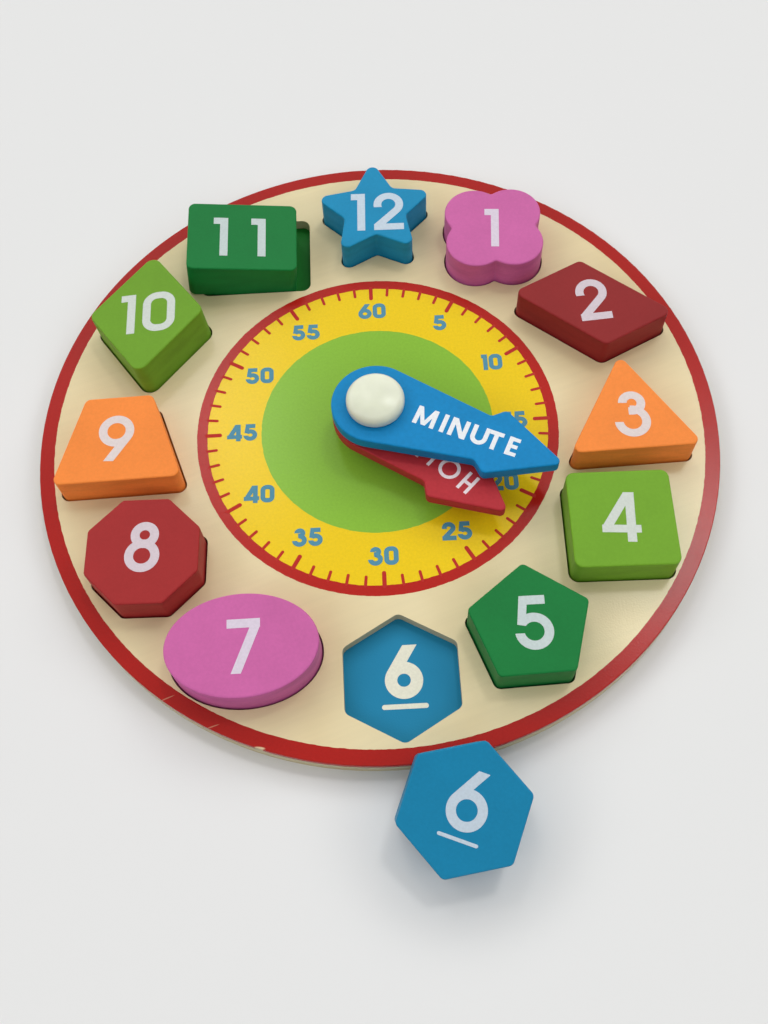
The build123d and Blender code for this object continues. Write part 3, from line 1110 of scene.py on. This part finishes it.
@dataclass(frozen=True)
class Board:
    """The two glued discs with their prints: rings, ticks, minute numbers and recess numbers."""

    tick_count: int = 60
    minor_tick: Pair = (3.4, 1.0)
    major_tick: Pair = (5.0, 1.4)
    tick_lap: float = 0.3
    number_reach: float = 52.2
    number_gap: float = 0.45
    number_shifts: tuple[tuple[int, float, float], ...] = (
        (4, 0.7, 0.0), (5, 0.6, 0.7), (7, -0.7, 1.2), (9, -0.2, 0.6), (11, -0.2, -0.5), (12, 0.1, 0.35),
    )
    floor_six_shift: Pair = (0.7, 2.9)
    blue: str = "#4E8DA6"
    cream: str = "#E6E4D0"

    def build(self) -> None:
        """Dresses the discs and prints the dial and the recess floors."""
        top = float(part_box("face_board")[1].z) / MM
        floor = float(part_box("base_board")[1].z) / MM
        dress("face_board", PrintedFace("printed_lacquered_ply_face"))
        spots = tuple(block.floor_spot() for block in BLOCKS)
        dress("base_board", PrintedBacking("printed_ply_backing", roughness=0.5, specular=0.1, spots=spots))
        ticks = ink_layer("dial_ticks", [(self.ticks(), level_plane(0.0, 0.0, top))])
        mount_print(ticks, ScreenInk("red_screen_ink", PrintedFace.red), "board", "face_wood")
        numbers = ink_layer("minute_numbers", self.minute_numbers(top))
        mount_print(numbers, ScreenInk("blue_screen_ink", self.blue), "board", "face_wood")
        floors = ink_layer("recess_numbers", self.recess_numbers(floor))
        mount_print(floors, ScreenInk("cream_screen_ink", self.cream), "board", "base_wood")

    def ticks(self) -> Strokes:
        """Round ended ticks from the red ring inward, every fifth one longer and wider.

        Returns:
            Outlines in millimetres about the centre of the dial.
        """
        outlines = []
        for index in range(self.tick_count):
            length, width = self.minor_tick if index % MARK_MINUTES else self.major_tick
            heading = clock_heading(2 * math.pi * index / self.tick_count)
            outer = (YELLOW_RADIUS + self.tick_lap + width / 2) * heading
            outlines.append(pill(outer, (YELLOW_RADIUS - length) * heading, width))
        return outlines

    def minute_numbers(self, top: float) -> list[Area]:
        """Bold figures 5 to 60, upright, each about reaching one circle inside the ticks.

        Args:
            top: height of the board's top.

        Returns:
            Outlines with their print planes.
        """
        shifts = {hour: np.array(shift) for hour, *shift in self.number_shifts}
        areas = []
        for hour in range(1, HOURS + 1):
            heading = clock_heading(math.radians(HOUR_ANGLE * hour))
            strokes = MINUTE_FIGURES.line(str(MARK_MINUTES * hour), self.number_gap)
            half_size = np.abs(np.concatenate(strokes)).max(axis=0)
            centre = heading * (self.number_reach - np.linalg.norm(half_size * heading))
            x, y = centre + shifts.get(hour, np.zeros(2))
            areas.append((strokes, level_plane(x, y, top)))
        return areas

    def recess_numbers(self, floor: float) -> list[Area]:
        """Heavy cream figures on the floors, each where its block belongs.

        Args:
            floor: height of the floors.

        Returns:
            Outlines with their print planes.
        """
        areas = []
        for block in BLOCKS:
            plane = level_plane(*block.recess_centre(), floor)
            if block.hour == UNDERLINED:
                plane = plane.placed(*self.floor_six_shift, 0.0)
            areas.append((block.outlines(FLOOR_FIGURES, FLOOR_UNDERLINE), plane))
        return areas


@dataclass(frozen=True)
class ClockHand:
    """One hand: its paint, which shows more grain, and the word printed along it."""

    node: str
    slot: str
    colour: str
    clock_angle: float
    word: str
    lettering: Lettering
    letter_gaps: tuple[float, ...]
    word_radius: float
    word_offset: float
    word_turn: float
    ink: str

    def build(self) -> None:
        """Paints the hand and prints its word, centred at word_radius from the hub."""
        paint = SprayedPaint(
            f"satin_paint_on_beech_{self.node}", self.colour, mottle_mm=1.2, mottle=0.05, pore_depth_mm=0.09
        )
        dress(self.node, paint)
        top = float(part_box(self.node)[1].z) / MM
        along_hand = level_plane(0.0, 0.0, top).placed(0.0, 0.0, 90 - self.clock_angle)
        plane = along_hand.placed(self.word_radius, self.word_offset, self.word_turn)
        word = ink_layer(f"{self.node}_word", [(self.lettering.line(self.word, *self.letter_gaps), plane)])
        mount_print(word, ScreenInk(f"{self.node}_word_ink", self.ink), self.node, self.slot)


HANDS = (
    ClockHand(
        "minute_hand", "hand_blue", "#1086C2", 113.9, "MINUTE", Lettering(height=7.0, stroke=1.5),
        (2.0, 1.4, 1.3, 0.05, 1.9), word_radius=32.07, word_offset=0.35, word_turn=-1.2, ink="#EDF1F4",
    ),
    ClockHand(
        "hour_hand", "hand_red", "#B43038", 134.3, "HOUR", Lettering(height=7.4, stroke=1.15),
        (2.05, 2.2, 2.4), word_radius=28.67, word_offset=-0.5, word_turn=180.0, ink="#EFDDE0",
    ),
)


@dataclass(frozen=True)
class Hub:
    """What carries the hands: spacer, washer and the lacquered knob of the peg."""

    knob_colour: str = "#E6E9D4"
    washer_colour: str = "#E8E6DC"
    washer_roughness: float = 0.5

    def build(self) -> None:
        """Dresses the three pieces."""
        dress("hub_spacer", SandedWood("sanded_beech_spacer"))
        dress("hand_washer", GlossLacquer("cut_nylon_washer", self.washer_colour, self.washer_roughness))
        dress("hub_peg", GlossLacquer("gloss_lacquer_on_turned_knob", self.knob_colour))


@dataclass(frozen=True)
class Lamp:
    """Small far lamp that gives the lacquer its sheen: the direction towards it and its strength."""

    name: str
    towards: Triple
    strength: float


@dataclass(frozen=True)
class Studio:
    """Pale table in a room with bright walls, most of all the far one, and the photograph's camera.

    wall_glow is the room's light by the height of its direction, from level (0) to straight up (1).
    """

    table_half: float = 4000.0
    table_colour: str = "#E8E8E7"
    background: str = "#E6E6E6"
    room_strength: float = 2.34
    wall_glow: tuple[Pair, ...] = (
        (0.0, 0.02), (0.42, 0.05), (0.54, 0.9), (0.6, 1.0),
        (0.67, 1.0), (0.76, 0.3), (0.86, 0.12), (1.0, 0.08),
    )
    bright_wall: Triple = (-0.17, 0.98, 0.0)
    wall_lean: float = 0.45
    lamps: tuple[Lamp, ...] = (
        Lamp("right_lamp", (0.274, 0.37, 0.888), 0.36),
        Lamp("left_lamp", (-0.165, 0.505, 0.847), 0.14),
    )
    lamp_spread: float = 8.0
    camera_place: Triple = (4.09, -186.36, 327.8)
    camera_aim: Triple = (0.94, -32.9, 7.2)
    camera_roll: float = -4.09
    camera_nearest: float = 10.0
    lens: float = 37.31
    sensor: float = 36.0

    def build(self) -> None:
        """Builds the table, the light and the camera."""
        self.build_table()
        self.build_light()
        self.build_camera()

    def build_table(self) -> None:
        """Lays the table: one large square under the board."""
        half = self.table_half * MM
        mesh = bpy.data.meshes.new("table")
        corners = [(-half, -half, 0.0), (half, -half, 0.0), (half, half, 0.0), (-half, half, 0.0)]
        mesh.from_pydata(corners, [], [(0, 1, 2, 3)])
        table = bpy.data.objects.new("table", mesh)
        bpy.context.scene.collection.objects.link(table)
        mesh.materials.append(MattTable("matt_white_table", self.table_colour).material())

    def build_light(self) -> None:
        """Lights the room by direction and hangs the lamps; camera and gloss see a plain backdrop."""
        world = bpy.data.worlds.new("studio")
        bpy.context.scene.world = world
        world.use_nodes = True
        world.node_tree.nodes.clear()
        add = partial(add_node, world.node_tree)
        towards = add("TexCoord").outputs["Generated"]
        height = add("SeparateXYZ", {0: towards}).outputs["Z"]
        stops = tuple((stop, (light, light, light, 1.0)) for stop, light in self.wall_glow)
        glow = add("ValToRGB", {"Fac": height}, stops)
        facing = add("VectorMath", {0: towards, 1: self.bright_wall}, operation="DOT_PRODUCT")
        strength = {0: facing, 1: self.wall_lean * self.room_strength, 2: self.room_strength}
        lean = add("Math", strength, operation="MULTIPLY_ADD")
        room = add("Background", {"Color": glow, "Strength": lean})
        backdrop = add("Background", {"Color": linear(self.background), "Strength": 1.0})
        ray = add("LightPath").outputs
        seen = ray["Is Camera Ray"]
        for kind in ("Is Glossy Ray", "Is Transmission Ray"):
            seen = add("Math", {0: seen, 1: ray[kind]}, operation="MAXIMUM")
        both = add("MixShader", {0: seen, 1: room, 2: backdrop})
        add("OutputWorld", {"Surface": both})
        for lamp in self.lamps:
            light = bpy.data.lights.new(lamp.name, "SUN")
            light.energy = lamp.strength
            light.angle = math.radians(self.lamp_spread)
            stand = bpy.data.objects.new(lamp.name, light)
            stand.rotation_euler = Vector(lamp.towards).to_track_quat("Z", "Y").to_euler()
            bpy.context.scene.collection.objects.link(stand)

    def build_camera(self) -> None:
        """Stands the camera where the photograph was taken from, rolled as it was held."""
        lens = bpy.data.cameras.new("camera")
        lens.lens = self.lens
        lens.sensor_width = self.sensor
        lens.clip_start = self.camera_nearest * MM
        camera = bpy.data.objects.new("camera", lens)
        place = Vector(self.camera_place) * MM
        aim = Vector(self.camera_aim) * MM
        level = (aim - place).to_track_quat("-Z", "Y")
        roll = Quaternion((0.0, 0.0, 1.0), math.radians(self.camera_roll))
        camera.location = place
        camera.rotation_euler = (level @ roll).to_euler()
        bpy.context.scene.collection.objects.link(camera)
        bpy.context.scene.camera = camera


def main() -> None:
    """Dresses the board, the blocks, the hands and the hub, then sets the studio."""
    logging.basicConfig(level=logging.INFO, format="%(message)s")
    bpy.context.scene.view_settings.view_transform = "Standard"
    for assembly in (Board(), *BLOCKS, *HANDS, Hub(), Studio()):
        assembly.build()


if __name__ == "__main__":
    main()
